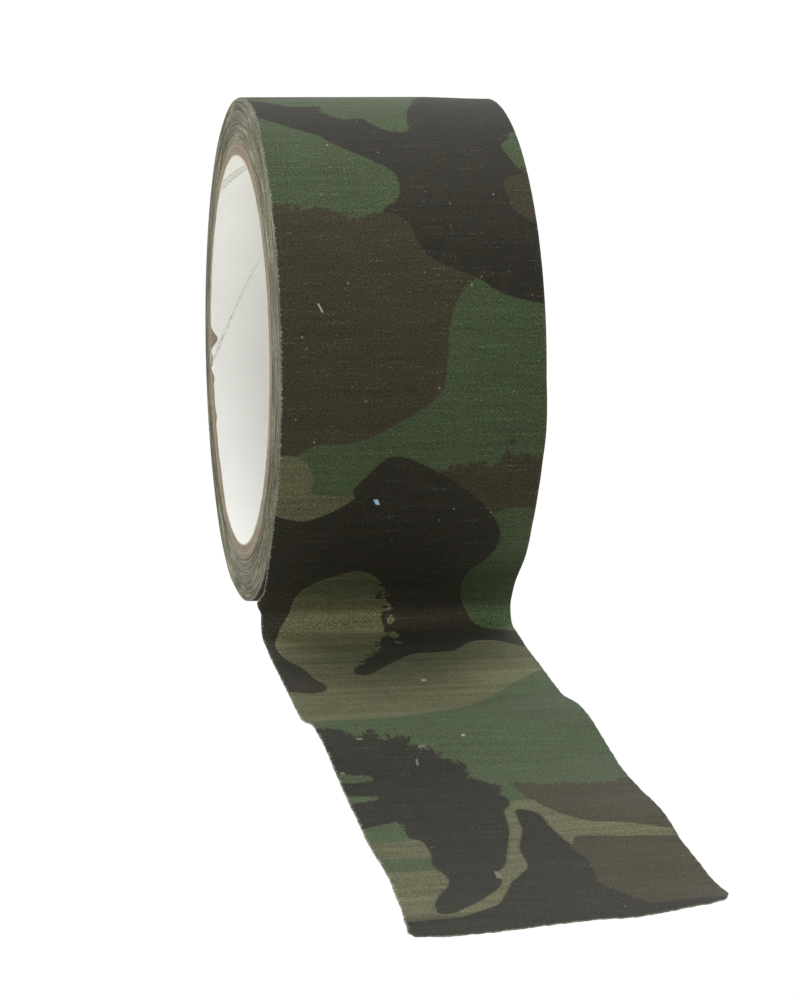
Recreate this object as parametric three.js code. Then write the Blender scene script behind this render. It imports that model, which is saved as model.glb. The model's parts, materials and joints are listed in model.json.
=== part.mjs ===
// A roll of duct tape standing on its edge, with its free end peeled off the lower front and laid forward.
// X is the roll's axis, the free end runs towards -Y, +Z is up and the surface it stands on is Z = 0.
// The origin is under the middle of the bounding box. Lengths are in millimetres.
import * as THREE from 'three';

// Driving dimensions of the roll
const TAPE_WIDTH = 50;
const ROLL_RADIUS = 49.7;
const CORE_BORE_RADIUS = 38.1;
const LINER_THICKNESS = 0.3;
const PLY_THICKNESS = 0.65;
const PLY_COUNT = 4;
const GLUE_LINE = 0.05;
const FACETS = 72;

// Driving dimensions of the tape, a laminate of a printed cloth backing over a rubber adhesive
const BACKING_THICKNESS = 0.12;
const ADHESIVE_THICKNESS = 0.1;
const LAMINATE_GAP = 0.02;
const TAPE_THICKNESS = ADHESIVE_THICKNESS + LAMINATE_GAP + BACKING_THICKNESS;

// Driving dimensions of the free end. Stations are distances forward of the roll's axis.
const PEEL_ANGLE = THREE.MathUtils.degToRad(35);
const PEEL_CLEARANCE = 0.05;
const BEND_RADIUS = 3.1;
const BEND_FACETS = 12;
const LIFT_STATION = 35;
const CREASE_STATION = 90;
const SECOND_BEND_STATION = 135;
const END_STATION = 181;
const HINGE_GAP = 0.4;

const AXIS_Y = (END_STATION - ROLL_RADIUS) / 2;

// The two layers of the laminate, as heights above the adhesive's free face
const ADHESIVE_LAYER = { name: 'adhesive', from: 0, to: ADHESIVE_THICKNESS, material: adhesiveMaterial() };
const BACKING_LAYER = {
  name: 'backing',
  from: TAPE_THICKNESS - BACKING_THICKNESS,
  to: TAPE_THICKNESS,
  material: backingMaterial(),
};

function backingMaterial() {
  return new THREE.MeshStandardMaterial({ color: 0x4a4a30, roughness: 0.55, metalness: 0 });
}

function adhesiveMaterial() {
  return new THREE.MeshStandardMaterial({ color: 0xb9b4a4, roughness: 0.8, metalness: 0 });
}

function woundTapeMaterial() {
  return new THREE.MeshStandardMaterial({ color: 0x45442f, roughness: 0.65, metalness: 0 });
}

function kraftMaterial() {
  return new THREE.MeshStandardMaterial({ color: 0xa98a72, roughness: 0.95, metalness: 0 });
}

function linerMaterial() {
  return new THREE.MeshStandardMaterial({ color: 0xe4e1da, roughness: 0.9, metalness: 0 });
}

// A tube as long as the tape is wide, on the X axis. Its radii are measured to the middle of each facet, and
// the facets sit so that one is flat on the ground.
function tube(name, innerRadius, outerRadius, material) {
  const corner = 1 / Math.cos(Math.PI / FACETS);
  const half = TAPE_WIDTH / 2;
  const profile = [
    new THREE.Vector2(innerRadius * corner, -half),
    new THREE.Vector2(outerRadius * corner, -half),
    new THREE.Vector2(outerRadius * corner, half),
    new THREE.Vector2(innerRadius * corner, half),
    new THREE.Vector2(innerRadius * corner, -half),
  ];
  const geometry = new THREE.LatheGeometry(profile, FACETS, Math.PI / FACETS);
  const mesh = new THREE.Mesh(geometry, material);
  mesh.name = name;
  mesh.rotation.z = -Math.PI / 2;
  return mesh;
}

// The core: a white paper liner inside spiral-wound kraft plies, then the wound turns of tape outside them.
function rollPieces() {
  const pieces = [];
  let radius = CORE_BORE_RADIUS;
  pieces.push(tube('core_liner', radius, radius + LINER_THICKNESS, linerMaterial()));
  radius += LINER_THICKNESS + GLUE_LINE;
  for (let ply = 1; ply <= PLY_COUNT; ply += 1) {
    pieces.push(tube(`core_ply_${ply}`, radius, radius + PLY_THICKNESS, kraftMaterial()));
    radius += PLY_THICKNESS + GLUE_LINE;
  }
  pieces.push(tube('wound_tape', radius, ROLL_RADIUS, woundTapeMaterial()));
  return pieces;
}

// The free end's first stretch, one layer of the laminate: straight down from the line where it peels off the
// roll, round the sharp bend, and onto the ground. x is forward of the roll's axis and y is up.
function rootOutline(layer) {
  const adhesiveRadius = ROLL_RADIUS / Math.cos(Math.PI / FACETS) + PEEL_CLEARANCE;
  const outward = new THREE.Vector2(Math.cos(PEEL_ANGLE), -Math.sin(PEEL_ANGLE));
  const bendHeight = BEND_RADIUS + TAPE_THICKNESS;
  const reach = adhesiveRadius + bendHeight + (bendHeight - ROLL_RADIUS) * Math.sin(PEEL_ANGLE);
  const bend = new THREE.Vector2(reach / Math.cos(PEEL_ANGLE), bendHeight);
  const bendStart = Math.PI - PEEL_ANGLE;
  const bendEnd = Math.PI * 1.5;
  const end = LIFT_STATION - HINGE_GAP / 2;

  const peelPoint = (height) => new THREE.Vector2(0, ROLL_RADIUS).addScaledVector(outward, adhesiveRadius + height);
  const bendPoint = (height) => bend.clone().addScaledVector(outward, height - bendHeight);
  const lowPeel = peelPoint(layer.from);
  const lowBend = bendPoint(layer.from);
  const highPeel = peelPoint(layer.to);

  const outline = new THREE.Shape();
  outline.moveTo(lowPeel.x, lowPeel.y);
  outline.lineTo(lowBend.x, lowBend.y);
  outline.absarc(bend.x, bend.y, bendHeight - layer.from, bendStart, bendEnd, false);
  outline.lineTo(end, layer.from);
  outline.lineTo(end, layer.to);
  outline.absarc(bend.x, bend.y, bendHeight - layer.to, bendEnd, bendStart, true);
  outline.lineTo(highPeel.x, highPeel.y);
  return outline;
}

function rootPiece(layer) {
  const options = { depth: TAPE_WIDTH, bevelEnabled: false, curveSegments: BEND_FACETS };
  const mesh = new THREE.Mesh(new THREE.ExtrudeGeometry(rootOutline(layer), options), layer.material);
  mesh.name = `tail_root_${layer.name}`;
  return mesh;
}

// One layer of a stretch that lies flat on the ground between two stations
function flatPiece(stretch, layer) {
  const length = stretch.to - stretch.from;
  const geometry = new THREE.BoxGeometry(length, layer.to - layer.from, TAPE_WIDTH);
  const mesh = new THREE.Mesh(geometry, layer.material);
  mesh.name = `${stretch.name}_${layer.name}`;
  mesh.position.set((stretch.from + stretch.to) / 2, (layer.from + layer.to) / 2, TAPE_WIDTH / 2);
  return mesh;
}

// The free end, with half a hinge gap at each bend line. In this group x is forward, y is up and z runs
// across the tape.
function tailPieces() {
  const gap = HINGE_GAP / 2;
  const stretches = [
    { name: 'tail_run', from: LIFT_STATION + gap, to: CREASE_STATION - gap },
    { name: 'tail_fold', from: CREASE_STATION + gap, to: SECOND_BEND_STATION - gap },
    { name: 'tail_end', from: SECOND_BEND_STATION + gap, to: END_STATION },
  ];
  const pieces = [];
  for (const layer of [ADHESIVE_LAYER, BACKING_LAYER]) {
    pieces.push(rootPiece(layer));
    for (const stretch of stretches) {
      pieces.push(flatPiece(stretch, layer));
    }
  }
  return pieces;
}

const roll = new THREE.Group();
roll.position.set(0, AXIS_Y, ROLL_RADIUS);
roll.add(...rollPieces());

const forward = new THREE.Vector3(0, -1, 0);
const up = new THREE.Vector3(0, 0, 1);
const across = new THREE.Vector3(-1, 0, 0);
const tail = new THREE.Group();
tail.quaternion.setFromRotationMatrix(new THREE.Matrix4().makeBasis(forward, up, across));
tail.position.set(TAPE_WIDTH / 2, AXIS_Y, 0);
tail.add(...tailPieces());

const tapeRoll = new THREE.Group();
tapeRoll.add(roll, tail);

export default tapeRoll;
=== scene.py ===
"""A roll of camouflage cloth tape standing on its edge, with its free end peeled off and laid forward.

Lengths in this script are in millimetres until a mesh is made. Two coordinates run along the tape's
surface: across, from -25 at the left edge to 25 at the right, and along, from the torn end up the tape and
over the roll. A station is a distance in front of the roll's axis.
"""
import json
import math

import bpy
import numpy as np
from mathutils import Matrix, Vector


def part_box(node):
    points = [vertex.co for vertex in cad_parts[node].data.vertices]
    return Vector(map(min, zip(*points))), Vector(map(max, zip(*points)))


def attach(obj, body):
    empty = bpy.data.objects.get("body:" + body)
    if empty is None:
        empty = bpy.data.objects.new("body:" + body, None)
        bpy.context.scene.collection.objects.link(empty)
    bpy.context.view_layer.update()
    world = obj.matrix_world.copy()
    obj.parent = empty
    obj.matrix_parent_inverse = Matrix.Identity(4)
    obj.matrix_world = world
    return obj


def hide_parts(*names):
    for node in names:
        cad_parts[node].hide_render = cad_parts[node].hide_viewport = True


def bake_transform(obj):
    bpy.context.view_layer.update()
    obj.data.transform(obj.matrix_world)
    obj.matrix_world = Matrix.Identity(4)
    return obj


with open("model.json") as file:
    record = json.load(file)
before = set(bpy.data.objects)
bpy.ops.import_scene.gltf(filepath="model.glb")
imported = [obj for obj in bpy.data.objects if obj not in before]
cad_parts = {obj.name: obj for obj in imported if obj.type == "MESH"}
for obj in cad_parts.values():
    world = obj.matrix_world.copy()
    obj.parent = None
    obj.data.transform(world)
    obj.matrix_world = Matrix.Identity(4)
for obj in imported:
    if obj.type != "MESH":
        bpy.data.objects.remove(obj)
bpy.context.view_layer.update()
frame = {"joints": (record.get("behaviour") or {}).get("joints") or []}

MM = 0.001


def cad_box(node):
    low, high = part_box(node)
    return np.array(low) / MM, np.array(high) / MM


# ---------------------------------------------------------------- sizes, from the frame
WOUND_LOW, WOUND_HIGH = cad_box("wound_tape")
HALF_WIDTH = WOUND_HIGH[0]
ROLL_RADIUS = (WOUND_HIGH[2] - WOUND_LOW[2]) / 2
AXIS_Y = (WOUND_HIGH[1] + WOUND_LOW[1]) / 2
AXIS_Z = (WOUND_HIGH[2] + WOUND_LOW[2]) / 2
END_STATION = AXIS_Y - cad_box("tail_end_backing")[0][1]
JOINT_STATION = {j["name"]: AXIS_Y - j["pos_m"][1] / MM for j in frame["joints"]}

# ---------------------------------------------------------------- sizes of the tape and its lay
TAPE = 0.24
PEEL_ANGLE = math.radians(34.2)
PEEL_TWIST = math.radians(2.8)
BEND_RADIUS = 3.1
REST_GAP = 0.02
TURN_LENGTH = 2 * math.pi * ROLL_RADIUS
# The place along the tape at the top of the roll
TOP_ALONG = 283.4
PRINT_REPEAT = 300.0
LINER = 0.3
CORE_PROUD = 0.45
SHARP_ANGLE = math.radians(60)


# ---------------------------------------------------------------- meshes
def strip_solid(name, face, back, attributes=(), closed=False, materials=()):
    """A closed solid between two grids of points, in mm.

    Material 0 is on the face, 1 on the back and 2 on the borders between them.
    """
    rows, columns = face.shape[:2]
    points = np.concatenate([face.reshape(-1, 3), back.reshape(-1, 3)]) * MM
    index = np.arange(rows * columns).reshape(rows, columns)
    if closed:
        index = np.vstack([index, index[:1]])
    other = index + rows * columns

    def quads(a, b, c, d):
        return np.stack([a.ravel(), b.ravel(), c.ravel(), d.ravel()], axis=1)

    groups = [
        (0, quads(index[:-1, :-1], index[:-1, 1:], index[1:, 1:], index[1:, :-1])),
        (1, quads(other[:-1, :-1], other[1:, :-1], other[1:, 1:], other[:-1, 1:])),
        (2, quads(index[:-1, 0], index[1:, 0], other[1:, 0], other[:-1, 0])),
        (2, quads(index[:-1, -1], other[:-1, -1], other[1:, -1], index[1:, -1])),
    ]
    if not closed:
        groups.append((2, quads(index[0, :-1], other[0, :-1], other[0, 1:], index[0, 1:])))
        groups.append((2, quads(index[-1, :-1], index[-1, 1:], other[-1, 1:], other[-1, :-1])))
    faces = np.concatenate([g for _, g in groups])
    slots = np.concatenate([np.full(len(g), s) for s, g in groups])

    corner = points[groups[0][1][0]]
    outward = np.cross(corner[1] - corner[0], corner[3] - corner[0])
    if outward @ (face[0, 0] - back[0, 0]) < 0:
        faces = faces[:, ::-1]

    mesh = bpy.data.meshes.new(name)
    mesh.from_pydata(points.tolist(), [], faces.tolist())
    mesh.polygons.foreach_set("material_index", slots.astype(np.int32))
    mesh.set_sharp_from_angle(angle=SHARP_ANGLE)
    for key, values in dict(attributes).items():
        both = np.concatenate([values.ravel(), values.ravel()]).astype(np.float32)
        mesh.attributes.new(key, "FLOAT", "POINT").data.foreach_set("value", both)
    for material in materials:
        mesh.materials.append(material)
    mesh.update()
    piece = bpy.data.objects.new(name, mesh)
    bpy.context.scene.collection.objects.link(piece)
    return piece


def smooth_step(low, high, value):
    t = np.clip((value - low) / (high - low), 0, 1)
    return t * t * (3 - 2 * t)


def hump(value, middle, width):
    """A smooth hump of height 1."""
    return np.exp(-(((value - middle) / width) ** 2))


def wander(value, seed, rates, size):
    """A smooth irregular wave along value, the same each run."""
    draw = np.random.default_rng(seed)
    total = np.zeros_like(np.asarray(value, float))
    for rate in rates:
        total += draw.uniform(0.5, 1) * np.sin(value * rate + draw.uniform(0, 2 * math.pi))
    return size * total / len(rates)


def through(value, stops):
    """A smooth curve through (place, height) stops, level at each of them."""
    places, heights = np.array(stops, float).T
    step = np.clip(np.searchsorted(places, value) - 1, 0, len(places) - 2)
    share = np.clip((value - places[step]) / (places[step + 1] - places[step]), 0, 1)
    share = share * share * (3 - 2 * share)
    return heights[step] + share * (heights[step + 1] - heights[step])


# ---------------------------------------------------------------- the tape's path
# How the roll stands and the free end lies: the greatest height or shift of each
SWELL_LEFT, SWELL_DROP = 0.33, 0.4
SAG = 0.95
CREASE_RISE = 1.9
WAVE_RISE = 0.9
CORNER_RISE = 1.3
END_RISE = 0.25
RIPPLE = 0.1
FRAY = 0.1
# How far each edge wanders sideways, by place along the tape
SWAY_LEFT = [
    (-1, -2.0), (4, -1.35), (12.7, -0.65), (24, -0.1), (40, -0.45), (56, -0.12), (76, -0.2), (92, -0.25),
    (104, -0.7), (132, -0.45), (152, 0), (155, 0), (158.6, -1.1), (162, 0), (258, 0), (272, 0.5), (294, 0.5),
    (325, 0),
]
SWAY_RIGHT = [
    (4, 0.1), (48, 0), (65, -0.4), (76, 0), (90, -0.3), (104, -0.8), (132, -0.55), (150, 0), (160, -0.3),
    (170, 0.35), (182, 0), (192, 0.2), (200, 0.45), (215, 0),
]


def path_marks(across):
    """Where the tape peels off and bends, for each place across it."""
    angle = PEEL_ANGLE + PEEL_TWIST * across / HALF_WIDTH
    height = REST_GAP + BEND_RADIUS + TAPE
    centre = (ROLL_RADIUS + BEND_RADIUS + (height - ROLL_RADIUS) * np.sin(angle)) / np.cos(angle)
    straight = (ROLL_RADIUS - height) * np.cos(angle) - centre * np.sin(angle)
    peel = TOP_ALONG - ROLL_RADIUS * (angle + math.pi / 2)
    bend_top = peel - straight
    bend_foot = bend_top - (BEND_RADIUS + TAPE / 2) * (angle + math.pi / 2)
    return angle, height, centre, peel, bend_top, bend_foot


def tape_points(along, across):
    """The printed face: down the roll, off at the peel line, round the bend and out along the ground."""
    angle, height, centre, peel, bend_top, bend_foot = path_marks(across)
    turn = (along - peel) / ROLL_RADIUS
    spiral = ROLL_RADIUS - TAPE * turn / (2 * math.pi)
    around = turn - angle
    slide = along - bend_top
    bend = math.pi * 1.5 - (along - bend_foot) / (BEND_RADIUS + TAPE / 2)
    start = math.pi - angle
    on_roll, on_straight, on_bend = along >= peel, along >= bend_top, along >= bend_foot
    station = np.select(
        [on_roll, on_straight, on_bend],
        [
            spiral * np.cos(around),
            centre + BEND_RADIUS * np.cos(start) + slide * np.sin(angle),
            centre + BEND_RADIUS * np.cos(bend),
        ],
        centre + bend_foot - along,
    )
    up = np.select(
        [on_roll, on_straight, on_bend],
        [
            ROLL_RADIUS + spiral * np.sin(around),
            height + BEND_RADIUS * np.sin(start) + slide * np.cos(angle),
            height + BEND_RADIUS * np.sin(bend),
        ],
        REST_GAP + TAPE,
    )
    lay = np.where(on_bend, 0, lay_height(station, across))
    up = swell(settle(up, -station), across / HALF_WIDTH) + lay
    return np.stack([across + sway(along, across), AXIS_Y - station, up], axis=-1)


def swell(up, share):
    """The roll stands a little taller than round, except at its right end."""
    return up + (SWELL_LEFT - SWELL_DROP * smooth_step(0.4, 1, share)) * smooth_step(0, 2 * ROLL_RADIUS, up)


def settle(up, behind, share=1.0):
    """The turns sag a little at the lower back, where the roll's weight rests."""
    low = hump(up, 5, 8) * np.clip(up / 1.2, 0, 1)
    return up - SAG * share * smooth_step(-2, 6, behind) * low


def lay_height(station, across):
    """How far the free end stands off the ground: a crease, a second low wave and a lifted corner."""
    share = across / HALF_WIDTH
    # The crease runs aslant, further forward at the left edge.
    crest = JOINT_STATION["crease"] + 1.8 - 4.2 * share
    rise = smooth_step(crest - 16, crest - 3, station)
    fall = 1 - smooth_step(crest + 2, crest + 25 - 6 * share, station)
    crease = (CREASE_RISE - 0.25 * share) * rise * fall
    wave_at = JOINT_STATION["end_bend"] + 2
    wave = WAVE_RISE * smooth_step(-0.1, 1, share) * smooth_step(wave_at - 14, wave_at, station)
    wave = wave * (1 - smooth_step(wave_at + 2, wave_at + 14, station))
    to_end = smooth_step(END_STATION - 16, END_STATION, station)
    corner = to_end * (CORNER_RISE * smooth_step(0.4, 1, share) + END_RISE)
    ripple = wander(station, 3, (0.21, 0.34, 0.55), RIPPLE) * smooth_step(40, 60, station)
    return crease + wave + corner + np.abs(ripple)


def sway(along, across):
    """How far the cloth is shifted sideways: its edges wander, and between them the shift is shared."""
    share = (across / HALF_WIDTH + 1) / 2
    left, right = through(along, SWAY_LEFT), through(along, SWAY_RIGHT)
    frayed = wander(along, 8, (0.37, 0.83, 1.9), FRAY) * (1 - smooth_step(140, 160, along))
    return left + share * (right - left) + frayed * (2 * share - 1) ** 3


def print_along(along, across):
    """The place in the print. On the ground it goes by distance, whatever the twist of the peel line."""
    _, _, centre, peel, _, bend_foot = path_marks(across)
    shift = END_STATION - centre - bend_foot
    return along + shift * (1 - smooth_step(bend_foot, peel, along))


# ---------------------------------------------------------------- the printed camouflage, (across, along)
BLACK_BRANCH = [
    (-28, 282), (-23, 281.4), (-19.7, 278.6), (-16.5, 276.6), (-11.3, 276.6), (-11.7, 273.7), (-8, 269.4),
    (-4.4, 269.9), (-2.6, 267.2), (-0.2, 265), (3.7, 264.4), (4.6, 269.4), (5.3, 273.1), (7.1, 278.1),
    (8.4, 282.5), (11.5, 288), (12, 292), (8, 296.5), (-2, 298), (-12, 296.5), (-28, 298), (-28, 303),
    (28, 303), (28, 266.6), (23.7, 264.4), (23.2, 262.3), (21.3, 260), (22, 257), (24, 252.5), (28, 249.5),
    (28, 224.2), (22.7, 224.5), (17.1, 225.9), (12.1, 229.1), (7.1, 231.1), (3.4, 233.4), (1.7, 236.5),
    (0.6, 239.7), (-1.5, 241.7), (-4, 242.9), (-1, 245.6), (-0.3, 249), (-1.1, 252.2), (-4.8, 255.3),
    (-9.6, 258.8), (-12.4, 261.3), (-13.6, 263), (-18.5, 265.9), (-22.2, 269), (-28, 273),
]
BLACK_WEDGE = [
    (-28, -5), (20, -5), (19.5, 1), (17.5, 2.9), (15, 4.3), (12.4, 5.8), (9.6, 11), (7.1, 15.5), (7.4, 20),
    (7.6, 26.5), (6.7, 29.5), (6.7, 32.4), (6.1, 34.9), (5.3, 40.6), (5, 46), (3.8, 48.4), (1.6, 49),
    (1, 45.4), (0.4, 39.5), (-1.8, 32), (-2.4, 24), (-4.6, 20.3), (-6.6, 17.4), (-8.6, 12.8),
    (-10.8, 8.6), (-13.8, 6.6), (-17.5, 4.1), (-21, 2.6), (-28, 2.6),
]
BLACK_LEFT = [
    (-20.6, 6.4), (-18.5, 5.9), (-16.3, 7.6), (-14.2, 9.4), (-11.8, 12), (-9.2, 15.3), (-7.8, 18.4),
    (-8.1, 21), (-6, 24.6), (-4.9, 28), (-3.2, 34.2), (-1.8, 39.1), (-0.8, 46), (-0.4, 49), (1.3, 51.8),
    (1.5, 54.5), (0.7, 57), (1.7, 60.4), (-1.2, 63.8), (-2.4, 66), (-2.5, 71), (-5.6, 73.6), (-6, 76.2),
    (-10.6, 79.2), (-9.8, 82.3), (-12.7, 82.5), (-14.8, 82), (-15.9, 87), (-18, 83.4), (-20, 84.2),
    (-21.3, 87.4), (-24.3, 88), (-28, 88), (-28, 44), (-22, 45), (-19.4, 46.4), (-18.4, 44.5), (-18.5, 39),
    (-16.7, 36.6), (-16.5, 31), (-17.2, 26.5), (-16, 20.5), (-16.9, 16.8), (-18.9, 13.6), (-20.3, 10),
]
BLACK_HEAD = [
    (-28, 183.2), (-23, 181.9), (-19.2, 181.2), (-15.5, 182.6), (-11.9, 184.9), (-10.2, 186.5),
    (-10.6, 188.3), (-7.9, 191.7), (-4.8, 194.9), (-1.3, 195.1), (3.7, 192.7), (9.1, 189.3), (14, 185),
    (17.1, 181.2), (19, 177), (19.1, 172.5), (17.4, 168.4), (15, 165.6), (14, 161.3), (14.7, 156.8),
    (17.1, 152.2), (20.5, 149.4), (28, 145.5), (28, 135), (23, 138.6), (20, 141.5), (17, 142.4),
    (14, 141.2), (10.4, 136.7), (7, 135.9), (1.8, 135.2), (-3, 130.5),
    (-7.6, 124.9), (-9.6, 123.3), (-11.3, 124.4), (-11, 127.2), (-8.6, 131.6), (-6.6, 135), (-4.4, 138.4),
    (-3.2, 143.8), (-1.1, 148.8), (-0.8, 152.5), (0, 155.5), (-1.6, 160.2), (-3.2, 164), (-7.2, 166.5),
    (-12, 164.9), (-16.6, 162.2), (-18.9, 158.4), (-19.6, 154), (-22, 149), (-23.4, 142), (-22.6, 134.5),
    (-20.2, 128), (-19.5, 122.8), (-18, 118.5), (-18.6, 115), (-21.4, 113.8), (-25.4, 115.2), (-28, 115.6),
]
BLACK_DROP = [(-3, 158.3), (-2.2, 158.9), (-1.5, 158.2), (-2.2, 157.4)]
BLACK = [BLACK_BRANCH, BLACK_WEDGE, BLACK_LEFT, BLACK_HEAD, BLACK_DROP]
OFF_BLACK = [
    [(-0.1, 152.3), (0.6, 153.2), (1.3, 152.4), (0.6, 151.5)],
    [(-0.8, 147.4), (0.2, 149), (1, 149.2), (1.6, 147.6), (0.9, 145.9), (-0.3, 146.2)],
    [(0, 143.2), (0.8, 143.5), (1.2, 142.7), (0.5, 142.1)],
    [(-28, 64.1), (-21, 64.2), (-19.2, 65.3), (-20, 66.8), (-28, 67.5)],
    [(-28, 55.6), (-21.5, 56), (-19.8, 57.3), (-20.3, 58.4), (-28, 58.4)],
    [(28, 251.4), (22.5, 251.5), (20, 250), (20.4, 246), (21.4, 242.6), (28, 239.2)],
]
BROWN = [
    [
        (-28, 243.2), (-21, 243.8), (-19, 243.2), (-16.6, 243.6), (-12, 242.2), (-9.6, 241.4), (-4.4, 242.4),
        (1, 243), (6, 236), (14, 230), (11.2, 228.3), (8.3, 224.4), (6.8, 219.5), (6.2, 213), (5.3, 208.1),
        (1.5, 204.4), (-4.1, 201.2), (-9, 198.8), (-13.5, 198), (-17.9, 198), (-21, 196.4), (-28, 193),
    ],
    [
        (28, 194.3), (23.4, 194.7), (21.8, 195.5), (20.3, 194.6), (17.8, 195.5), (16.2, 193.5), (12.1, 193.6),
        (8.4, 193.2), (5, 191), (6, 186), (12, 180), (17, 182.2), (21, 183.3), (28, 184),
    ],
    [(18.3, 197.6), (19.1, 198.6), (19.9, 197.6), (19.1, 196.8)],
    [(28, 253), (20, 252), (17, 247), (20, 240), (28, 238)],
    [
        (28, 61.8), (23.4, 62.3), (20, 60.6), (17.2, 60.3), (15, 61.2), (11, 61.1), (7.5, 61.8), (4.2, 62.5),
        (3.9, 60), (5, 54.5), (6.2, 50.8), (8.3, 46), (10.3, 43.1), (12.9, 40.9), (17.4, 39.2), (22.4, 36),
        (28, 33),
    ],
    [(28, 33.8), (16.1, 34.6), (11.5, 35.4), (8.3, 35.6), (7.1, 33.2), (4, 28), (4, 10), (9, -4), (28, -4)],
    [(-28, 282.5), (-20, 283.6), (-11, 286), (-8, 291), (-12, 299), (-28, 300)],
]
OLIVE = [
    [
        (28, 36), (24, 36.6), (17.4, 39.6), (12.9, 40.9), (10.3, 43.2), (8.3, 46.1), (6.2, 50.9),
        (5.6, 53.4), (3.4, 53.6), (0.8, 52.4), (-3, 46), (-7, 32), (-12, 24.2), (-20, 24), (-28, 22.2),
        (-28, 0), (-15, 3), (-8, 9), (-1, 22), (3, 42), (5, 34), (6.5, 32.3), (7.4, 33.4), (8.4, 35.6),
        (11.5, 35.4), (16.1, 34.6), (28, 33.6),
    ],
    [(-28, 30.9), (-17.4, 29.5), (-13, 30), (-13, 38), (-20, 37), (-28, 36.3)],
    [
        (-28, 96.6), (-22, 95.2), (-16, 93.9), (-9, 94.3), (-1.5, 97.6), (3.6, 101.2), (7.9, 104.9),
        (12, 109.5), (16, 114.5), (22, 121), (28, 127.5), (28, 139), (20, 145), (8, 140), (3, 145),
        (3, 157), (-4, 168), (-14, 167), (-22, 158), (-26, 140), (-22, 117), (-28, 113),
    ],
    [
        (-28, 194.5), (-24.5, 195.9), (-21.5, 195.5), (-19.4, 193.7), (-18.3, 190.5), (-18.3, 187.7),
        (-11, 186.9), (-9.4, 186.4), (-13, 181), (-20, 178), (-28, 180),
    ],
]
# Stretches where the ink was dragged along the tape into teeth: across, along, reach and size
DRAGGED = [
    (-22, 243, 4.5, 0.9), (-16, 243, 4, 0.9), (-10, 242, 4, 1.1), (-5, 243, 3, 0.9), (9, 193, 4, 0.9),
    (15, 193.5, 3, 0.9), (20, 195, 3.5, 1.2), (25, 194.5, 3, 0.9), (-9, 166, 4, 0.5),
    (-23, 88, 3, 1.1), (-18, 84.5, 4.5, 1.5), (-14, 83, 4.5, 1.6), (-10, 81, 4.5, 1.6), (-7, 77, 4.5, 1.6),
    (-4, 72.5, 4.5, 1.5), (-1.5, 66, 4.5, 1.3), (1.5, 59, 4.5, 1.0), (6, 62, 3.5, 1.1), (11, 61, 3.5, 1.3),
    (16, 61, 3.5, 1.4), (21, 61.5, 3.5, 1.4), (25, 62, 3, 1.0), (-20, 66, 3, 1.0), (-20, 57, 3, 1.0),
    (-19, 46, 3, 0.8), (2, 266, 4, 0.5), (-12, 275, 4, 0.6),
]
# Stretches where the teeth run across the tape instead, with the same four values
COMBED = [
    (-1, 161, 4, 1.2), (-0.5, 155, 4, 1.3), (-2, 148, 4.5, 1.5), (-4, 142, 4.5, 1.6), (-6, 136, 4.5, 1.5),
    (-9, 130, 3.5, 1.1),
]
# How much brighter or darker the inks are painted by place along the print: painted light and shade,
# brightest round the foot of the bend, where the tail and the roll shade it
INK_PAINTED_SHADING = [
    (0, 1.0), (60, 0.95), (112, 1.0), (122, 0.88), (131, 0.85), (137, 1.12), (144, 1.85), (148, 2.5),
    (152, 2.0), (157, 1.15), (160, 0.75), (164, 0.62), (171, 0.95), (205, 0.86), (250, 0.95), (270, 0.95),
    (300, 1.1),
]
# The same painted light and shade for the black, with a stronger painted highlight round the bend
BLACK_PAINTED_SHADING = [
    (0, 0.9), (20, 0.8), (35, 0.6), (65, 0.6), (85, 0.9), (120, 1.0), (131, 1.1), (141, 2.2), (151, 3.4),
    (157, 2.1), (163, 1.2), (176, 1.05), (230, 0.95), (245, 1.15), (268, 0.95), (278, 0.8), (300, 1.0),
]
EDGE_REACH = 3.0
CURVE_STEPS = 6


def closed_curve(corners):
    """A smooth closed curve through the corners, held back where a short side meets a long one."""
    p = np.array(corners, float)
    before, after, beyond = np.roll(p, 1, 0), np.roll(p, -1, 0), np.roll(p, -2, 0)
    longest = np.linalg.norm(after - p, axis=1, keepdims=True)
    slopes = []
    for slope in ((after - before) / 2, (beyond - p) / 2):
        slopes.append(slope * np.minimum(1, longest / np.linalg.norm(slope, axis=1, keepdims=True)))
    leave, arrive = slopes
    t = (np.arange(CURVE_STEPS) / CURVE_STEPS)[None, :, None]
    p, after, leave, arrive = (a[:, None] for a in (p, after, leave, arrive))
    eased = t * t * (3 - 2 * t)
    curve = p + (after - p) * eased + leave * t * (1 - t) ** 2 + arrive * t * t * (t - 1)
    return curve.reshape(-1, 2)


def signed_distance(points, shapes):
    """The distance to the nearest shape's outline, negative inside, capped at EDGE_REACH."""
    nearest = np.full(len(points), EDGE_REACH)
    for shape in shapes:
        line = closed_curve(shape)
        low, high = line.min(0) - EDGE_REACH, line.max(0) + EDGE_REACH
        near = np.flatnonzero(((points >= low) & (points <= high)).all(1))
        if not len(near):
            continue
        p = points[near]
        away = np.full(len(p), EDGE_REACH)
        crossings = np.zeros(len(p), int)
        for a, b in zip(line, np.roll(line, -1, 0)):
            edge = b - a
            t = np.clip((p - a) @ edge / max(edge @ edge, 1e-12), 0, 1)
            away = np.minimum(away, np.linalg.norm(p - a - t[:, None] * edge, axis=1))
            if a[1] != b[1]:
                spans = (p[:, 1] >= min(a[1], b[1])) & (p[:, 1] < max(a[1], b[1]))
                crossings += spans & (p[:, 0] < a[0] + (p[:, 1] - a[1]) * edge[0] / edge[1])
        nearest[near] = np.minimum(nearest[near], np.where(crossings % 2, -away, away))
    return nearest


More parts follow.
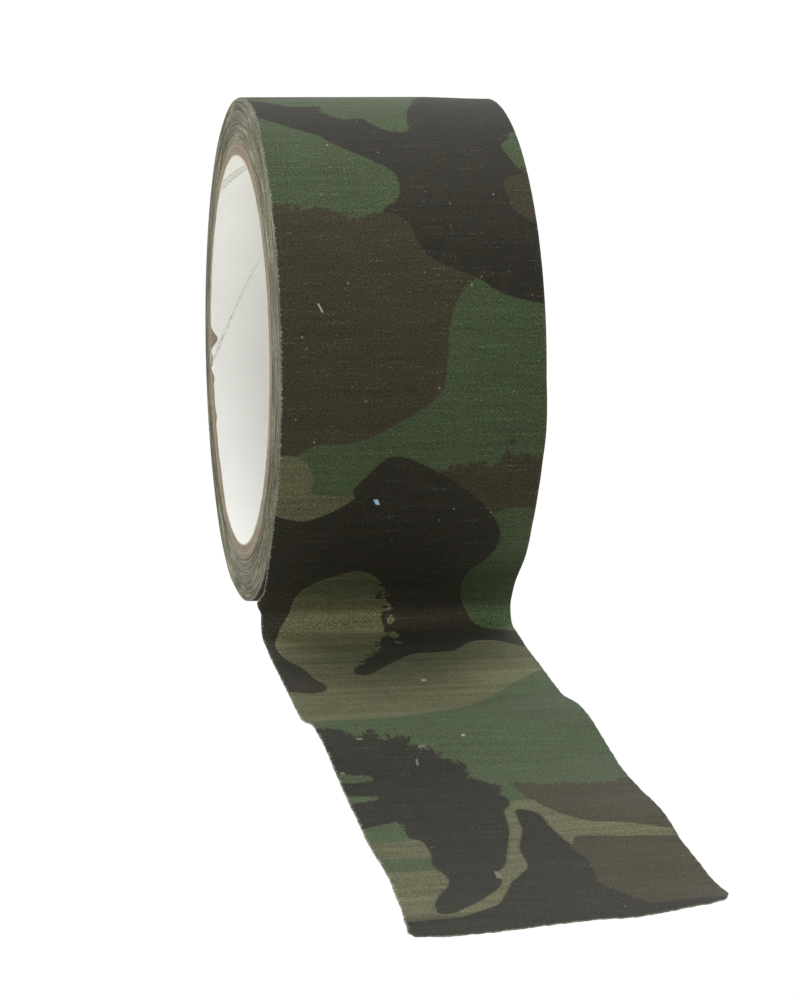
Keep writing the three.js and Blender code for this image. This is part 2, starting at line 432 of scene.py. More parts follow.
def black_distance(points):
    """The distance to the black's outline. It reaches in from the repeats, and has gaps cut out of it."""
    here = signed_distance(points, BLACK)
    low_wrap = signed_distance(points + (0, PRINT_REPEAT), BLACK)
    high_wrap = signed_distance(points - (0, PRINT_REPEAT), BLACK)
    here = np.minimum(np.minimum(here, low_wrap), high_wrap)
    return np.maximum(here, -signed_distance(points, OFF_BLACK))


def toothed(points, places):
    """How strongly the ink's edge is drawn out into teeth at each point."""
    drag = np.zeros(len(points))
    for at, up, reach, size in places:
        away = np.hypot(points[:, 0] - at, points[:, 1] - up)
        drag = np.maximum(drag, size * (1 - smooth_step(0.3 * reach, reach, away)))
    return drag


def painted_ink_shading(laid, across, black):
    """Painted light and shade on the ink: brighter or darker by place along the print, painted shade where
    the end curls, painted light on a patch of black at the left and on the right side near the roll.
    """
    wrapped = laid % PRINT_REPEAT
    in_black = 1 - smooth_step(-0.4, 0.4, black)
    painted_shading = through(wrapped, INK_PAINTED_SHADING) * (1 - in_black) + through(wrapped, BLACK_PAINTED_SHADING) * in_black
    # Painted shade where the torn end curls down at the left.
    curl_shade = smooth_step(10, -14, across) * hump(laid, 4, 1.8)
    # Painted light on a patch of black at the left of the tail, near the roll, where it lies in shade.
    left_painted_light = hump(across, -20, 5) * hump(laid, 119, 7)
    # Painted light on the right half of the tail near the roll, where it lies in shade.
    right_painted_light = smooth_step(2, 17, across) * hump(laid, 124, 13)
    return painted_shading * (1 - 0.45 * curl_shade) * (1 + 0.7 * left_painted_light * in_black) * (1 + 0.65 * right_painted_light)


def print_attributes(along, across):
    """What the cloth material reads at each point: places on the tape and distances to the ink's edges."""
    laid = print_along(along, across)
    points = np.stack([(across + sway(along, across)).ravel(), laid.ravel() % PRINT_REPEAT], axis=1)
    found = {
        "black": black_distance(points),
        "brown": signed_distance(points, BROWN),
        "olive": signed_distance(points, OLIVE),
        "drag": toothed(points, DRAGGED),
        "comb": toothed(points, COMBED),
    }
    attributes = {key: values.reshape(along.shape) for key, values in found.items()}
    # Painted light and shade on the inks, which the cloth material multiplies into its colour
    attributes["painted_shading"] = painted_ink_shading(laid, across, attributes["black"])
    attributes["across"] = across
    attributes["along"] = laid
    return attributes


# ---------------------------------------------------------------- materials
class Nodes:
    """Builds one material. A value may be a number, a colour or another node's output."""

    def __init__(self, name):
        self.material = bpy.data.materials.new(name)
        self.material.use_nodes = True
        self.tree = self.material.node_tree
        self.shader = self.tree.nodes["Principled BSDF"]

    def node(self, kind, inputs=(), output=0, **settings):
        node = self.tree.nodes.new(kind)
        for key, value in settings.items():
            setattr(node, key, value)
        for key, value in dict(inputs).items():
            self.put(node.inputs[key], value)
        return node.outputs[output]

    def put(self, socket, value):
        if isinstance(value, bpy.types.NodeSocket):
            self.tree.links.new(value, socket)
        elif isinstance(value, (tuple, list)) and len(value) == 3 and socket.type == "RGBA":
            socket.default_value = (*value, 1)
        else:
            socket.default_value = value

    def field(self, name):
        return self.node("ShaderNodeAttribute", output="Fac", attribute_name=name)

    def math(self, operation, a, b=0.0, c=0.0):
        return self.node("ShaderNodeMath", {0: a, 1: b, 2: c}, operation=operation)

    def vector(self, x, y, z=0.0):
        return self.node("ShaderNodeCombineXYZ", {0: x, 1: y, 2: z})

    def noise(self, vector, scale=1.0, detail=2.0, roughness=0.5):
        inputs = {"Vector": vector, "Scale": scale, "Detail": detail, "Roughness": roughness}
        return self.node("ShaderNodeTexNoise", inputs)

    def ramp(self, value, low, high, to_low=0.0, to_high=1.0):
        inputs = {0: value, 1: low, 2: high, 3: to_low, 4: to_high}
        return self.node("ShaderNodeMapRange", inputs, interpolation_type="SMOOTHSTEP")

    def mix(self, factor, a, b, blend="MIX"):
        # Sockets 6 and 7 are the two colours.
        inputs = {0: factor, 6: a, 7: b}
        return self.node("ShaderNodeMix", inputs, output=2, data_type="RGBA", blend_type=blend)

    def shade(self, colour, amount):
        """The colour times a value near 1."""
        grey = self.node("ShaderNodeCombineColor", {0: amount, 1: amount, 2: amount})
        return self.mix(1.0, colour, grey, "MULTIPLY")

    def bump(self, height, distance):
        inputs = {"Height": height, "Distance": distance * MM, "Strength": 1.0}
        return self.node("ShaderNodeBump", inputs)

    def finish(self, colour, roughness, normal=None, **inputs):
        self.put(self.shader.inputs["Base Color"], colour)
        self.put(self.shader.inputs["Roughness"], roughness)
        if normal is not None:
            self.put(self.shader.inputs["Normal"], normal)
        for key, value in inputs.items():
            self.put(self.shader.inputs[key.replace("_", " ")], value)
        return self.material


GREEN_INK = (0.049, 0.0745, 0.032)
BROWN_INK = (0.0395, 0.0335, 0.0175)
OLIVE_INK = (0.1, 0.102, 0.052)
BLACK_INK = (0.0155, 0.0142, 0.0098)
# The inks over the green, in the order they are laid: name, colour and softness of the edge
INKS = [("brown", BROWN_INK, 0.3), ("olive", OLIVE_INK, 0.22), ("black", BLACK_INK, 0.22)]
PALE_THREAD = (0.34, 0.335, 0.27)
RUST_STAIN = (0.06, 0.037, 0.018)
WARM_GLOSS = (1.0, 1.0, 0.84)
THREAD_PITCH = 0.42
THREAD_END_PITCH = 0.56

WHITE_LINT = (0.33, 0.32, 0.265)
GREY_LINT = (0.14, 0.135, 0.105)
BLUE_LINT = (0.31, 0.61, 0.67)
# Bits of lint caught in the cloth: across, along, half width, half height, lean, colour
FLECKS = [
    (-17.4, 223.5, 0.2, 0.8, -0.48, WHITE_LINT), (-5.9, 185.4, 0.4, 0.62, -0.45, BLUE_LINT),
    (-21, 218.2, 0.14, 0.15, 0, WHITE_LINT), (-12, 228.1, 0.14, 0.12, 0, WHITE_LINT),
    (4.6, 208.4, 0.14, 0.14, 0, WHITE_LINT), (17.5, 246.5, 0.14, 0.13, 0, WHITE_LINT),
    (-12.5, 259.8, 0.15, 0.16, 0, WHITE_LINT), (9.2, 183.2, 0.14, 0.13, 0, WHITE_LINT),
    (16.5, 182.2, 0.14, 0.14, 0, WHITE_LINT), (11.3, 227.5, 0.14, 0.13, 0, WHITE_LINT),
    (-18.7, 198.5, 0.12, 0.12, 0, WHITE_LINT), (-9.3, 206.2, 0.11, 0.11, 0, WHITE_LINT),
    (2.6, 230, 0.17, 0.15, 0, GREY_LINT), (-3, 257.5, 0.17, 0.2, 0, GREY_LINT),
    (13.3, 229, 0.17, 0.14, 0, GREY_LINT), (6.6, 180.5, 0.17, 0.14, 0, GREY_LINT),
    (0.3, 143.2, 0.2, 0.3, 0, WHITE_LINT), (0.3, 152.4, 0.15, 0.3, 0, WHITE_LINT),
    (1.2, 119.2, 0.48, 0.6, 0, WHITE_LINT), (0.2, 82.7, 0.3, 0.42, 0, WHITE_LINT),
    (-8.1, 78.3, 0.65, 0.5, 0.4, GREY_LINT), (-18.4, 82, 0.5, 0.5, 0, GREY_LINT),
    (-10.2, 72, 0.2, 1.2, 0.1, GREY_LINT), (-23.9, 67.8, 0.4, 0.4, 0, GREY_LINT),
    (-7.8, 21, 0.4, 1.4, 0, GREY_LINT),
]


def weave(n, across, along):
    """The height of a plain weave, from -1 to 1, with threads that wander a little."""
    drift = n.noise(n.vector(across, along), 0.8)
    wobble = n.math("MULTIPLY_ADD", drift, 1.6, -0.8)
    warp = n.math("SINE", n.math("MULTIPLY", n.math("ADD", across, wobble), math.pi / THREAD_PITCH))
    weft = n.math("SINE", n.math("MULTIPLY", n.math("SUBTRACT", along, wobble), math.pi / THREAD_PITCH))
    return n.math("MULTIPLY", warp, weft)


def laid_inks(n, across, along):
    """The colour of the inks and where each one lies. Their edges are rough, and toothed where dragged."""
    place = n.vector(across, along)
    blotch = n.math("MULTIPLY", n.noise(place, 0.9, 3.0, 0.6), 0.6)
    pushed = n.math("MULTIPLY_ADD", n.noise(place, 2.6, 2.0), 0.5, -0.25)
    for key, wide, high in (("drag", 1.0, 0.32), ("comb", 0.32, 1.0)):
        stretched = n.vector(n.math("MULTIPLY", across, wide), n.math("MULTIPLY", along, high))
        bristle = n.math("ADD", n.noise(stretched, 1.25, 3.0, 0.6), blotch)
        teeth = n.math("MULTIPLY_ADD", bristle, 5.0, -4.0)
        pushed = n.math("MULTIPLY_ADD", n.field(key), teeth, pushed)
    colour, masks = GREEN_INK, {}
    for key, ink, blur in INKS:
        masks[key] = n.ramp(n.math("ADD", n.field(key), pushed), -blur, blur, 1.0, 0.0)
        colour = n.mix(masks[key], colour, ink)
    return colour, masks


def with_lint(n, colour, across, along):
    """The colour with each bit of lint laid over it."""
    rough = n.math("MULTIPLY", n.noise(n.vector(across, along), 2.2, 1.0), 0.5)
    for x, y, wide, high, lean, tint in FLECKS:
        down = n.math("SUBTRACT", along, y)
        beside = n.math("MULTIPLY_ADD", down, -lean, n.math("SUBTRACT", across, x))
        share_across = n.math("DIVIDE", n.math("ABSOLUTE", beside), wide)
        share_along = n.math("DIVIDE", n.math("ABSOLUTE", down), high)
        away = n.math("ADD", n.math("MAXIMUM", share_across, share_along), rough)
        colour = n.mix(n.ramp(away, 1.1, 1.4, 1.0, 0.0), colour, tint)
    return colour


def with_selvage(n, colour, across, along):
    """The colour with pale thread ends at the slit edges, most of them at the left."""
    from_edge = n.math("SUBTRACT", HALF_WIDTH, n.math("ABSOLUTE", across))
    dash = n.noise(n.vector(n.math("MULTIPLY", across, 0.3), along), 1.9, 1.0)
    fray = n.noise(n.vector(across, along), 0.35)
    reach = n.math("MULTIPLY_ADD", dash, -1.6, n.math("ADD", from_edge, 0.8))
    selvage = n.math("MULTIPLY", n.ramp(reach, 0.0, 0.3, 1.0, 0.0), n.ramp(across, -1, 1, 1.0, 0.25))
    return n.mix(n.math("MULTIPLY", selvage, n.ramp(fray, 0.35, 0.55, 0.1, 0.6)), colour, PALE_THREAD)


def printed_cloth():
    """The printed side: four inks on cloth, with its threads, wear, stains, lint and frayed edges."""
    n = Nodes("printed_cloth")
    across, along = n.field("across"), n.field("along")
    place = n.vector(across, along)
    colour, masks = laid_inks(n, across, along)

    threads = weave(n, across, along)
    patch = n.noise(place, 0.07, 3.0)
    slub = n.noise(n.vector(n.math("MULTIPLY", across, 0.05), along), 1.9, 3.0, 0.65)
    grain = n.noise(place, 2.3, 2.0, 0.7)
    tone = n.math("MULTIPLY_ADD", threads, 0.16, 1.0)
    band = n.noise(n.vector(n.math("MULTIPLY", across, 0.04), along), 0.55, 2.0, 0.6)
    mottle = n.noise(place, 0.55, 3.0, 0.6)
    for part, size in ((patch, 0.35), (slub, 0.7), (band, 0.5), (mottle, 0.35), (grain, 2.7)):
        tone = n.math("ADD", tone, n.math("MULTIPLY_ADD", part, size, -size / 2))
    # The olive is thin ink, and the threads across the tape show through it as streaks.
    thin = n.math("MULTIPLY", masks["olive"], n.math("SUBTRACT", 1.0, masks["black"]))
    tone = n.math("MULTIPLY_ADD", n.math("MULTIPLY_ADD", band, 0.65, -0.325), thin, tone)
    # The tone is multiplied by the painted light and shade on the inks.
    colour = n.shade(colour, n.math("MULTIPLY", tone, n.field("painted_shading")))
    stain = n.ramp(n.noise(n.vector(across, along, 9.0), 0.33, 4.0, 0.65), 0.42, 0.66)
    colour = n.mix(n.math("MULTIPLY", stain, 0.12), colour, RUST_STAIN)

    worn = n.ramp(n.math("MULTIPLY", grain, slub), 0.33, 0.46, 0.0, 0.25)
    colour = n.mix(worn, colour, PALE_THREAD)
    spots = n.node("ShaderNodeTexVoronoi", {"Vector": place, "Scale": 0.22})
    fleck = n.ramp(spots, 0.015, 0.05, 0.5, 0.0)
    colour = n.mix(fleck, colour, PALE_THREAD)
    colour = with_selvage(n, with_lint(n, colour, across, along), across, along)

    relief = n.math("MULTIPLY_ADD", slub, 0.9, n.math("MULTIPLY", threads, 0.3))
    normal = n.bump(relief, 0.08)
    gloss = {"Specular_IOR_Level": 0.26, "Specular_Tint": WARM_GLOSS}
    return n.finish(colour, 0.7, normal, Sheen_Weight=0.03, Sheen_Roughness=0.4, **gloss)


DARK_FILM, THREAD_END = (0.06, 0.058, 0.04), (0.23, 0.225, 0.165)
DARK_GUM, PALE_GUM = (0.46, 0.445, 0.38), (0.62, 0.6, 0.53)


def cut_edge():
    """The side of the cloth where the tape was slit: pale thread ends between dark film and gum."""
    n = Nodes("cut_edge")
    along = n.field("along")
    ends = n.math("SINE", n.math("MULTIPLY", along, 2 * math.pi / THREAD_END_PITCH))
    fray = n.noise(n.vector(along, 0.0), 0.7, 3.0)
    pale = n.math("MULTIPLY", n.ramp(ends, -0.9, 0.5, 0.45, 1.0), n.ramp(fray, 0.3, 0.6, 0.35, 1.0))
    colour = n.mix(pale, DARK_FILM, THREAD_END)
    return n.finish(colour, 0.9, Sheen_Weight=0.2)


def gum():
    """The adhesive side: pale rubber gum that shows the weave through it."""
    n = Nodes("gum")
    across, along = n.field("across"), n.field("along")
    threads = weave(n, across, along)
    cloud = n.noise(n.vector(across, along), 0.25, 4.0)
    colour = n.mix(cloud, DARK_GUM, PALE_GUM)
    colour = n.shade(colour, n.math("MULTIPLY_ADD", threads, 0.08, 1.0))
    rough = n.math("MULTIPLY_ADD", cloud, 0.3, 0.35)
    return n.finish(colour, rough, n.bump(threads, 0.012), Specular_IOR_Level=0.5)


EDGE_OLIVE = (0.118, 0.122, 0.07)
EDGE_BROWN = (0.135, 0.108, 0.064)
EDGE_PALE = (0.3, 0.295, 0.2)
EDGE_BRIGHT = (0.46, 0.45, 0.33)
EDGE_DARK = (0.032, 0.029, 0.018)
OUTER_EDGE = (0.075, 0.08, 0.05)
# Tones laid over the olive edges: rates by turn and by arc and a layer of noise, its ramp, and the colour
EDGE_TONES = [
    ((0.35, 0.03, 7.0), (0.4, 0.6, 0.0, 1.0), EDGE_BROWN),
    ((0.5, 0.045, 0.0), (0.42, 0.68, 0.0, 0.9), EDGE_PALE),
    ((0.9, 0.08, 3.0), (0.5, 0.64, 0.0, 0.8), EDGE_BRIGHT),
    ((0.8, 0.05, 5.0), (0.35, 0.48, 0.85, 0.0), EDGE_DARK),
]


def wound_edges():
    """The end face of the wound turns: slit edges of the cloth, each with its own tone."""
    n = Nodes("wound_edges")
    turn, arc = n.field("turn"), n.field("arc")

    def streaks(turn_rate, arc_rate, layer):
        place = n.vector(n.math("MULTIPLY", turn, turn_rate), n.math("MULTIPLY", arc, arc_rate), layer)
        return n.noise(place, 1.0, 3.0, 0.62)

    colour = EDGE_OLIVE
    for rates, stops, tint in EDGE_TONES:
        colour = n.mix(n.ramp(streaks(*rates), *stops), colour, tint)
    colour = n.mix(n.ramp(turn, 0.0, 1.2, 0.75, 0.0), colour, OUTER_EDGE)
    threads = n.math("SINE", n.math("MULTIPLY", arc, 2 * math.pi / THREAD_END_PITCH))
    colour = n.shade(colour, n.math("MULTIPLY_ADD", threads, 0.12, 1.0))
    fine = streaks(2.1, 1.3, 1.0)
    # Painted shade between the turns: each turn is painted darker where it meets the next.
    turn_shade = n.math("COSINE", n.math("MULTIPLY", turn, 2 * math.pi))
    tone = n.math("MULTIPLY_ADD", turn_shade, -0.22, 0.92)
    colour = n.shade(colour, n.math("ADD", tone, n.math("MULTIPLY_ADD", fine, 2.8, -1.4)))
    return n.finish(colour, 0.85, n.bump(fine, 0.12), Sheen_Weight=0.05)


KRAFT_DARK, KRAFT_PALE = (0.25, 0.205, 0.145), (0.36, 0.31, 0.235)
PAPER_DULL, PAPER_WHITE = (0.73, 0.728, 0.695), (0.8, 0.8, 0.77)
# Colours of the board that shows in the lap and of the painted shadow lines at its edges, of the painted
# shadow in the crack, and of the paper's cut edge
PAPER_LAP_AND_SHADOW, PAPER_CRACK_SHADOW, PAPER_EDGE = (0.4, 0.385, 0.26), (0.34, 0.33, 0.29), (0.62, 0.56, 0.42)


def kraft_board(tint):
    """Kraft board seen on its cut end, where the knife has dragged its fibres."""
    n = Nodes("kraft_board")
    place = n.node("ShaderNodeTexCoord", output="Object")
    fibre = n.noise(place, 2200.0, 4.0, 0.7)
    cloud = n.noise(place, 260.0, 3.0)
    colour = n.mix(cloud, tuple(c * tint for c in KRAFT_DARK), tuple(c * tint for c in KRAFT_PALE))
    colour = n.shade(colour, n.math("MULTIPLY_ADD", fibre, 1.5, 0.25))
    return n.finish(colour, 0.95, n.bump(fibre, 0.12), Specular_IOR_Level=0.15)


def liner_paper():
    """White paper, with a lap and a butt where its strips meet, along helices in the bore, painted shadow
    lines at the lap's edges and in the crack, and painted shade that darkens it away from the ends of the
    bore.
    """
    n = Nodes("liner_paper")
    gap, crack = n.field("gap"), n.field("crack")
    place = n.node("ShaderNodeTexCoord", output="Object")
    cloud = n.noise(place, 90.0, 4.0, 0.6)
    fibre = n.noise(place, 1500.0, 3.0)
    colour = n.mix(cloud, PAPER_DULL, PAPER_WHITE)
    worn = n.ramp(cloud, 0.3, 0.6, 0.5, 1.0)
    # The strip of board in the lap, with painted shadow lines at its edges.
    colour = n.mix(n.math("MULTIPLY", gap, worn), colour, PAPER_LAP_AND_SHADOW)
    # Painted shadow in the crack.
    colour = n.mix(n.math("MULTIPLY", crack, worn), colour, PAPER_CRACK_SHADOW)
    colour = n.shade(colour, n.math("MULTIPLY_ADD", fibre, 0.08, 0.96))
    # Painted shade: the paper is painted darker away from the ends of the bore, where less light reaches.
    colour = n.shade(colour, n.ramp(n.field("from_end"), 0, 16, 1.09, 0.93))
    return n.finish(colour, 0.9, n.bump(fibre, 0.02), Specular_IOR_Level=0.2)


def liner_edge():
    """The cut edge of the paper, where the glue has stained it."""
    n = Nodes("liner_edge")
    mottle = n.noise(n.node("ShaderNodeTexCoord", output="Object"), 3000.0, 2.0)
    return n.finish(n.shade(PAPER_EDGE, n.math("MULTIPLY_ADD", mottle, 0.5, 0.75)), 0.9)


CLOTH, CUT, GUM = printed_cloth(), cut_edge(), gum()

# ---------------------------------------------------------------- the free end and the outer turn
ACROSS_STEPS = 100
ALONG_STEP = 0.5
# The torn edge, by place across the tape, and the place along it that its length is counted from
TORN_EDGE = [
    (-25, 1.2), (-24, -0.6), (-18, -1.4), (-13, -1.2), (-9, -1.0), (-5, -0.4), (3, 0.2), (9, 0.0), (15, 0.5),
    (21, 0.5), (23.5, 1.3), (25.2, 4.2),
]


def across_row():
    return np.linspace(-HALF_WIDTH, HALF_WIDTH, ACROSS_STEPS + 1)


def torn_end(across):
    """Where the tape was torn off, measured along it: nearly straight, with its right corner lost."""
    frayed = wander(across, 21, (0.9, 2.3, 5.1, 9.7), 0.3)
    return through(across, TORN_EDGE) + frayed


def tape_sheet(name, low, high):
    """A stretch of tape between two places along it, as thick as the tape."""
    across = across_row()
    low, high = np.broadcast_to(low, across.shape), np.broadcast_to(high, across.shape)
    steps = int(np.ceil(np.max(high - low) / ALONG_STEP))
    share = np.linspace(0, 1, steps + 1)[:, None]
    along = low + share * (high - low)
    across = np.broadcast_to(across, along.shape)
    face = tape_points(along, across)
    down, over = np.gradient(face, axis=0), np.gradient(face, axis=1)
    normal = np.cross(over, down)
    normal /= np.linalg.norm(normal, axis=2, keepdims=True)
    back = face - TAPE * normal
    return strip_solid(name, face, back, print_attributes(along, across), materials=(CLOTH, GUM, CUT))


def along_at(station):
    """The place along the tape that lies at a station, at its middle."""
    return END_STATION - station


MID_RUN = (JOINT_STATION["lift"] + JOINT_STATION["crease"]) / 2
MID_FOLD = (JOINT_STATION["crease"] + JOINT_STATION["end_bend"]) / 2

row = across_row()
_, _, _, PEEL_ALONG, _, _ = path_marks(row)

root_sheet = tape_sheet("tail_root_tape", along_at(MID_RUN), PEEL_ALONG)
middle_sheet = tape_sheet("tail_middle_tape", along_at(MID_FOLD), along_at(MID_RUN))
end_sheet = tape_sheet("tail_end_tape", torn_end(row), along_at(MID_FOLD))
outer_turn = tape_sheet("outer_turn_tape", PEEL_ALONG, PEEL_ALONG + TURN_LENGTH)

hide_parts("tail_root_backing", "tail_root_adhesive")
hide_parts("tail_run_backing", "tail_run_adhesive", "tail_fold_backing", "tail_fold_adhesive")
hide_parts("tail_end_backing", "tail_end_adhesive")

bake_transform(root_sheet)
for sheet, joint, before, after in (
    (middle_sheet, "crease", "tail_run", "tail_fold"),
    (end_sheet, "end_bend", "tail_fold", "tail_end"),
):
    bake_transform(sheet)
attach(outer_turn, "roll")

# ---------------------------------------------------------------- the wound turns under it
ROUND_STEPS = 360
RINGS_A_TURN = 3
CORE_GAP = 0.02
INNER_PROUD = 0.3
CORE_RADIUS = cad_box("core_ply_4")[1][2] - AXIS_Z


def around_rows(closed):
    """Angles round the roll, from the peel line over the top and back."""
    turns = np.linspace(0, 2 * math.pi, ROUND_STEPS + 1)
    if closed:
        turns = turns[:-1]
    return turns[:, None]


def roll_points(x, radius, turned):
    """Points on the roll, by place along its axis, radius and angle turned from the peel line."""
    angle = turned - PEEL_ANGLE
    y = AXIS_Y - radius * np.cos(angle)
    outward = np.clip((radius - CORE_RADIUS) / (ROLL_RADIUS - CORE_RADIUS), 0, 1)
    z = swell(settle(AXIS_Z + radius * np.sin(angle), y - AXIS_Y, outward), x / HALF_WIDTH)
    return np.stack(np.broadcast_arrays(x, y, z), axis=-1)


def turn_protrusion(turn, turned, seed):
    """How far each turn's edge stands out of the end face."""
    whole = np.round(turn)
    slow = wander(whole * 5.3 + turned, seed, (0.7, 1.3, 2.1), 0.07)
    odd = np.clip(wander(whole * 37.7 + turned * 0.35, seed + 1, (1.0, 1.9, 3.1), 0.3) - 0.08, 0, 0.16)
    ridge = 0.05 * np.cos(2 * math.pi * turn)
    return slow + odd + ridge


def wound_turns():
    turned = around_rows(closed=False)
    count = int((ROLL_RADIUS - CORE_RADIUS - 2 * TAPE) / TAPE)
    ring = np.arange(count * RINGS_A_TURN + 1) / RINGS_A_TURN
    start = ROLL_RADIUS - TAPE - TAPE * turned / (2 * math.pi)
    radius = start - (start - CORE_RADIUS - CORE_GAP) * ring[None, :] / count
    turn = ring[None, :] + turned / (2 * math.pi)
    depth = (ROLL_RADIUS - radius) / (ROLL_RADIUS - CORE_RADIUS)
    ends = []
    for side, seed in ((-1, 40), (1, 50)):
        reach = HALF_WIDTH + INNER_PROUD * smooth_step(0.2, 1, depth) + turn_protrusion(turn, turned, seed)
        ends.append(roll_points(side * reach, radius, turned))
    attributes = {"turn": turn, "arc": radius * turned}
    return strip_solid("wound_turns", ends[0], ends[1], attributes, materials=(wound_edges(),) * 3)


turns = wound_turns()
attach(turns, "roll")
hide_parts("wound_tape")

# ---------------------------------------------------------------- the core
LINER_OUTER = cad_box("core_liner")[1][2] - AXIS_Z
BORE_RADIUS = LINER_OUTER - LINER
LINER_COLUMNS = 120
PLY = 0.65
PLY_RINGS = 5
PLY_TINTS = (1.0, 0.93, 1.04, 0.9)
PLY_INSET = 0.05
HELIX_MM_PER_DEGREE = 0.29
SEAM_WIDTH = 0.16
FLAP_DEPTH = 0.5
# Where the liner's marks are, in degrees round the bore from its back
LAP_AT = 52.5
CRACK_AT = -15.0
TEAR_AT = -8.5
FLAP_AT = -15.0


def core_ply(number):
    """One ply of board, with rough ends that are a little rounded at their rims."""
    outer = cad_box(f"core_ply_{number}")[1][2] - AXIS_Z
    turned = around_rows(closed=True)
    radius = np.linspace(outer - PLY, outer, PLY_RINGS)[None, :]
    lip = -0.06 * np.abs(np.linspace(-1, 1, PLY_RINGS))[None, :] ** 3
    ends = []
    for side, seed in ((-1, 60 + number), (1, 70 + number)):
        rough = wander(turned * 57.0 + radius * 3.1, seed, (0.31, 0.73, 1.9), 0.05)
        reach = HALF_WIDTH + CORE_PROUD - PLY_INSET + lip + rough
        ends.append(roll_points(side * reach, radius, turned))
    materials = (kraft_board(PLY_TINTS[number - 1]),) * 3
    piece = strip_solid(f"core_board_{number}", ends[0], ends[1], closed=True, materials=materials)
    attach(piece, "roll")
    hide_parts(f"core_ply_{number}")


def core_liner():
    """The white liner, with a lap that shows a strip of board, a cracked butt, a tear and a folded chip, and
    painted shadow lines along the lap's edges and in the crack.
    """
    turned = around_rows(closed=True)
    from_back = np.degrees(turned - PEEL_ANGLE) - 180
    from_back = -(from_back - 360 * np.round(from_back / 360))
    share = np.linspace(0, 1, LINER_COLUMNS + 1)[None, :]
    tear = 1.5 * hump(from_back, TEAR_AT, 2.2)
    chips = 0.3 * hump(from_back, -33, 1.6) + 0.2 * hump(from_back, -21, 1.2)
    worn_back = 0.35 * smooth_step(-75, -50, from_back) * (1 - smooth_step(-20, -17, from_back))
    frayed_left, frayed_right = (wander(from_back, seed, (0.21, 0.53, 1.3), 0.07) for seed in (81, 82))
    left = -HALF_WIDTH - CORE_PROUD + tear + chips + worn_back + frayed_left
    right = HALF_WIDTH + CORE_PROUD + frayed_right
    x = left + share * (right - left)

    def off_helix(start):
        """The distance along the bore from a helix that starts at this angle on the left end."""
        turns = (from_back - start) * HELIX_MM_PER_DEGREE - (x + HALF_WIDTH)
        pitch = 360 * HELIX_MM_PER_DEGREE
        return turns - pitch * np.round(turns / pitch)

    lap, crack = off_helix(LAP_AT), off_helix(CRACK_AT)
    gap = smooth_step(-1.8, -1.6, lap) * (1 - smooth_step(-0.1, 0.1, lap))
    # Painted shadow lines along both edges of the lap, darker than the strip of board between them.
    edges = hump(lap, -1.6, SEAM_WIDTH) + hump(lap, 0, SEAM_WIDTH)
    gap = 0.35 * gap + 0.6 * edges
    # Painted shadow in the crack of the butt, near the left end.
    line = hump(crack, 0, SEAM_WIDTH) * hump(x, -HALF_WIDTH, 9)
    flap = hump(from_back, FLAP_AT, 2.6) * np.clip(1 - (x + HALF_WIDTH + CORE_PROUD) / FLAP_DEPTH, 0, 1)
    radius = BORE_RADIUS + 0.1 * gap + 0.05 * line + 1.1 * flap
    face = roll_points(x, radius, turned)
    back = roll_points(x, np.maximum(LINER_OUTER, radius + 0.12), turned)
    paper, paper_edge = liner_paper(), liner_edge()
    attributes = {"gap": gap, "crack": line, "from_end": HALF_WIDTH - np.abs(x)}
    materials = (paper, paper, paper_edge)
    piece = strip_solid("core_liner_paper", face, back, attributes, closed=True, materials=materials)
    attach(piece, "roll")
    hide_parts("core_liner")


for ply in range(1, len(PLY_TINTS) + 1):
    core_ply(ply)
core_liner()

# ---------------------------------------------------------------- floor, light and camera
# The camera's place from the roll's foot in mm, its turns, and its focal length in sensor widths
CAMERA_OFFSET = (-121.47, -625.6, 186.77)
CAMERA_YAW, CAMERA_PITCH, CAMERA_ROLL = (math.radians(a) for a in (11.686, 14.761, 1.467))
FOCAL_WIDTHS = 4.0845
LIGHT_TARGET = (0, 0, 0.03)
FLOOR_SIZE = 8.0
FLOOR_DROP = 0.1
FLOOR_COLOUR = (0.8, 0.8, 0.78)
# Brightness of the plain white behind the roll, which only the camera sees
BACKDROP_WHITE = 1.02
# Brightness of the room along each axis of direction: axis, from, to, brightness at each
ROOM_LIGHT = [("Y", -1, 1, 0.28, 1.2), ("Z", 0, 1, 0, 0.1)]
# Soft square lights aimed at the roll: name, place and width in metres, watts
SOFTBOXES = [("overhead", (-0.15, 0.2, 1.1), 1.0, 7.5), ("front", (-0.3, -0.9, 0.06), 0.5, 3.6)]


def flat_square(name, height, material):
    half = FLOOR_SIZE / 2
    corners = [(-half, -half, height), (half, -half, height), (half, half, height), (-half, half, height)]
    mesh = bpy.data.meshes.new(name)
    mesh.from_pydata(corners, [], [(0, 1, 2, 3)])
    mesh.materials.append(material)
    square = bpy.data.objects.new(name, mesh)
    bpy.context.scene.collection.objects.link(square)
    return square


def make_floor():
    """The pale floor that light bounces from. The camera sees white instead, so bent tape isn't hidden."""
    pale = Nodes("floor").finish(FLOOR_COLOUR, 0.9)
    floor = flat_square("floor", -FLOOR_DROP * MM, pale)
    floor.visible_camera = False


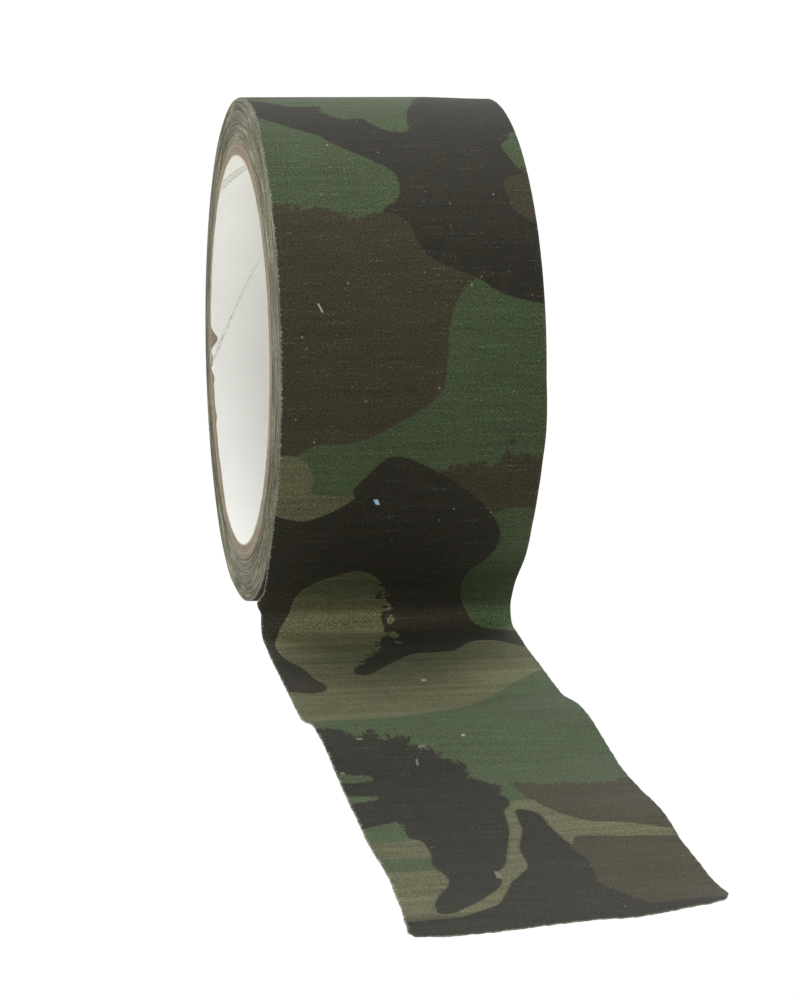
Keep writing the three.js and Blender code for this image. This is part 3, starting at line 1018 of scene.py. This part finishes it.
def make_room():
    """A white room, brighter behind the roll and overhead. The camera sees it as plain white."""
    world = bpy.data.worlds.new("studio")
    world.use_nodes = True
    tree = world.node_tree
    links, background = tree.links, tree.nodes["Background"]

    def add(kind, **settings):
        node = tree.nodes.new(kind)
        for key, value in settings.items():
            setattr(node, key, value)
        return node

    split = add("ShaderNodeSeparateXYZ")
    links.new(add("ShaderNodeTexCoord").outputs["Generated"], split.inputs[0])
    total = None
    for axis, low, high, bottom, top in ROOM_LIGHT:
        part = add("ShaderNodeMapRange", interpolation_type="SMOOTHSTEP")
        links.new(split.outputs[axis], part.inputs[0])
        for index, value in enumerate((low, high, bottom, top), start=1):
            part.inputs[index].default_value = value
        if total is None:
            total = part.outputs[0]
        else:
            both = add("ShaderNodeMath", operation="ADD")
            links.new(total, both.inputs[0])
            links.new(part.outputs[0], both.inputs[1])
            total = both.outputs[0]
    links.new(total, background.inputs["Strength"])
    background.inputs["Color"].default_value = (1, 1, 1, 1)

    backdrop, choose = add("ShaderNodeBackground"), add("ShaderNodeMixShader")
    backdrop.inputs["Color"].default_value = (1, 1, 1, 1)
    backdrop.inputs["Strength"].default_value = BACKDROP_WHITE
    links.new(add("ShaderNodeLightPath").outputs["Is Camera Ray"], choose.inputs[0])
    links.new(background.outputs[0], choose.inputs[1])
    links.new(backdrop.outputs[0], choose.inputs[2])
    links.new(choose.outputs[0], tree.nodes["World Output"].inputs["Surface"])
    bpy.context.scene.world = world


def make_softboxes():
    for name, place, size, watts in SOFTBOXES:
        area = bpy.data.lights.new(name, "AREA")
        area.size, area.energy = size, watts
        light = bpy.data.objects.new(name, area)
        light.location = place
        light.rotation_euler = (Vector(LIGHT_TARGET) - light.location).to_track_quat("-Z", "Y").to_euler()
        bpy.context.scene.collection.objects.link(light)


def make_camera():
    forward = Vector((
        math.sin(CAMERA_YAW) * math.cos(CAMERA_PITCH),
        math.cos(CAMERA_YAW) * math.cos(CAMERA_PITCH),
        -math.sin(CAMERA_PITCH),
    ))
    level = Vector((math.cos(CAMERA_YAW), -math.sin(CAMERA_YAW), 0))
    upright = level.cross(forward)
    right = level * math.cos(CAMERA_ROLL) + upright * math.sin(CAMERA_ROLL)
    up = upright * math.cos(CAMERA_ROLL) - level * math.sin(CAMERA_ROLL)
    data = bpy.data.cameras.new("camera")
    data.sensor_fit = "HORIZONTAL"
    data.lens = FOCAL_WIDTHS * data.sensor_width
    camera = bpy.data.objects.new("camera", data)
    turn = Matrix((right, up, -forward)).transposed().to_4x4()
    place = Vector(CAMERA_OFFSET) + Vector((0, AXIS_Y, 0))
    camera.matrix_world = Matrix.Translation(place * MM) @ turn
    bpy.context.scene.collection.objects.link(camera)
    bpy.context.scene.camera = camera


make_floor()
make_room()
make_softboxes()
make_camera()
bpy.context.scene.view_settings.view_transform = "Standard"
